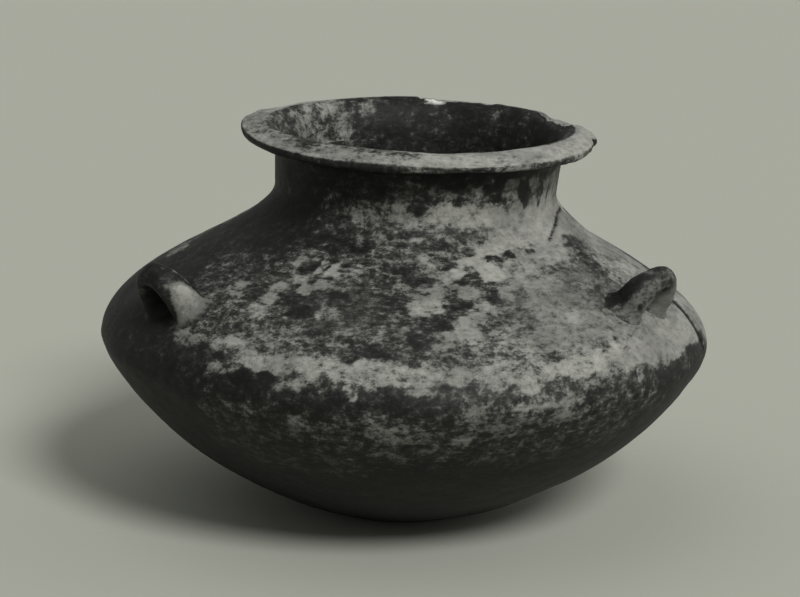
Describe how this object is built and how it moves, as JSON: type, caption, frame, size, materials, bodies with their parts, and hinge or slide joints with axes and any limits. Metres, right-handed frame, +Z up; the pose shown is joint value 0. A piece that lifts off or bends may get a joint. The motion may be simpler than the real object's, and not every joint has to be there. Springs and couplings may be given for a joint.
{
  "type": "two-handled jar",
  "caption": "Wide low-bellied earthenware jar with a short neck, an everted rim and two small upright loop handles on the shoulder.",
  "frame": {"origin": "centre of the flat base, on the surface that the jar stands on", "axes": "+Z up through the mouth; -Y towards the viewer of the picture, with a handle to each side of it; +X to that viewer's right"},
  "size_m": [0.38, 0.38, 0.2455],
  "materials": {
    "dark_clay": "burnished grey-black earthenware, worn to a dull sheen",
    "slipped_clay": "grey-black earthenware under a worn paler slip, mottled and streaked, matt"
  },
  "bodies": {
    "root": {"base_disc": "dark_clay", "lower_course_1": "dark_clay", "lower_course_2": "dark_clay", "lower_course_3": "dark_clay", "lower_course_4": "dark_clay", "lower_course_5": "dark_clay", "belly_course": "slipped_clay", "shoulder_course_1": "slipped_clay", "shoulder_course_2": "slipped_clay", "shoulder_course_3": "slipped_clay", "shoulder_course_4": "slipped_clay", "neck_collar": "dark_clay", "rim_lip": "slipped_clay", "left_handle": "slipped_clay", "right_handle": "slipped_clay"}
  },
  "joints": []
}
